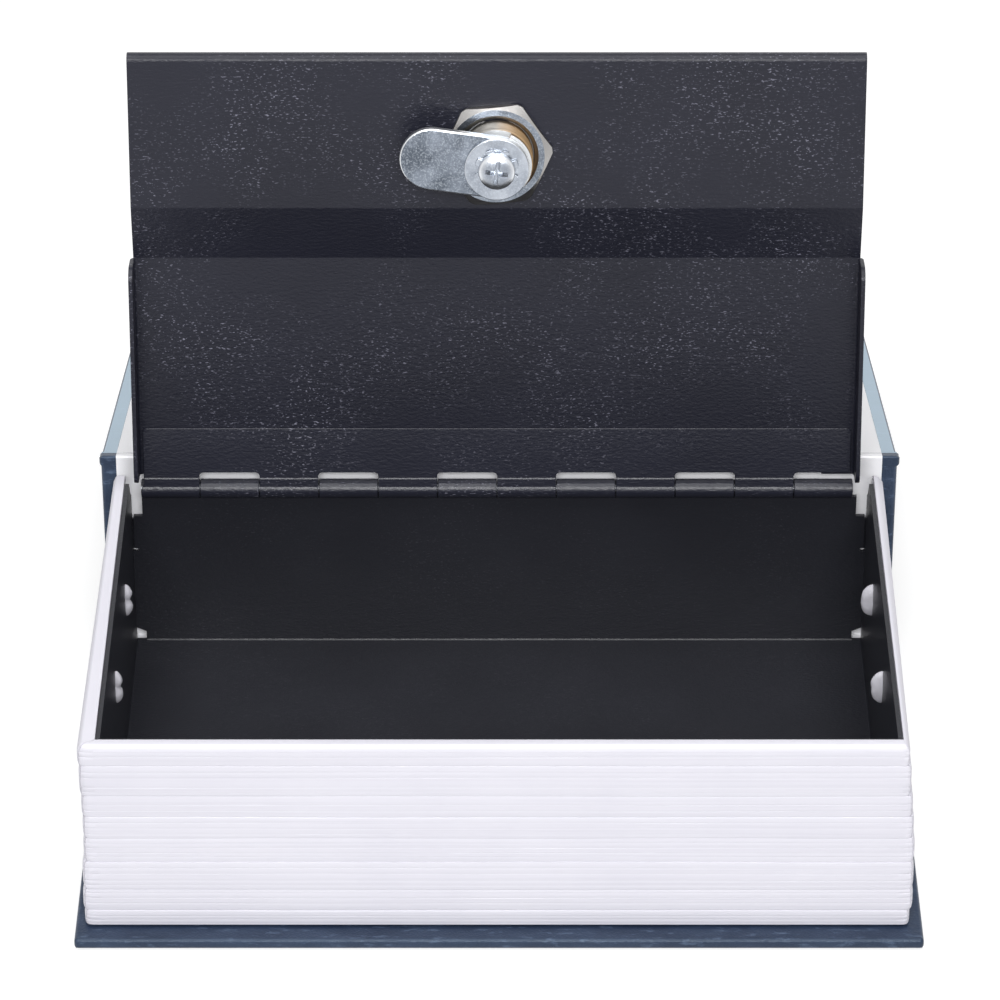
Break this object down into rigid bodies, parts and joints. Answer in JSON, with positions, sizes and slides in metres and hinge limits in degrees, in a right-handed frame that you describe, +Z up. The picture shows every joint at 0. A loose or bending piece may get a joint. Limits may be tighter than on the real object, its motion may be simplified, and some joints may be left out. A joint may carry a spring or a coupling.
{
  "type": "book diversion safe",
  "caption": "Book-shaped diversion safe, standing open: a cloth-covered case round a false page block that holds a steel box with a hinged key-lock lid.",
  "frame": {"origin": "centre of the back cover's underside, the flat face that the safe lies on", "axes": "+X to the right along the spine, +Y from the fore-edge to the spine, +Z up out of the back cover"},
  "size_m": [0.18, 0.2317, 0.1477],
  "materials": {
    "blue_cloth": "satin",
    "grey_board": "matte",
    "white_paper": "matte",
    "white_plastic": "satin",
    "black_coat": "fine texture",
    "zinc_plate": "satin",
    "lock_brass": "satin",
    "pin_steel": "satin"
  },
  "bodies": {
    "root": {"back_board": "grey_board", "back_covering": "blue_cloth", "back_endpaper": "white_paper", "spine_board": "grey_board", "spine_lining": "white_paper", "page_block_front": "white_plastic", "page_block_left": "white_plastic", "page_block_right": "white_plastic", "box_shell": "black_coat", "strike_bracket": "black_coat", "hinge_box_leaf": "black_coat", "hinge_pin": "pin_steel"},
    "front_cover": {"front_board": "grey_board", "front_covering": "blue_cloth", "front_endpaper": "white_paper"},
    "lid": {"lid_panel": "black_coat", "hinge_lid_leaf": "black_coat", "lock_housing": "lock_brass", "lock_nut": "zinc_plate"},
    "lock_plug": {"lock_plug": "zinc_plate", "cam_stop_washer": "zinc_plate", "cam": "zinc_plate", "cam_washer": "zinc_plate", "cam_star_washer": "zinc_plate", "cam_screw": "zinc_plate", "plug_wafer_1": "lock_brass", "wafer_spring_1": "pin_steel", "plug_wafer_2": "lock_brass", "wafer_spring_2": "pin_steel", "plug_wafer_3": "lock_brass", "wafer_spring_3": "pin_steel", "plug_wafer_4": "lock_brass", "wafer_spring_4": "pin_steel"}
  },
  "joints": [
    {"name": "lid_hinge", "type": "hinge", "parent": "root", "child": "lid", "pos_m": [-0.0005, 0.05305, 0.04487], "axis": [1, 0, 0], "range_deg": [0, 99.5]},
    {"name": "front_cover_hinge", "type": "hinge", "parent": "root", "child": "front_cover", "pos_m": [0, 0.05845, 0.0498], "axis": [1, 0, 0], "range_deg": [0, 196]},
    {"name": "lock_turn", "type": "hinge", "parent": "lid", "child": "lock_plug", "pos_m": [-0.0005, 0.05854, 0.12613], "axis": [0, 0.9863, -0.165], "range_deg": [-8, 82]}
  ],
  "couplings": [
    {"joint": "front_cover_hinge", "follows": "lid_hinge", "ratio": 1.9698}
  ]
}
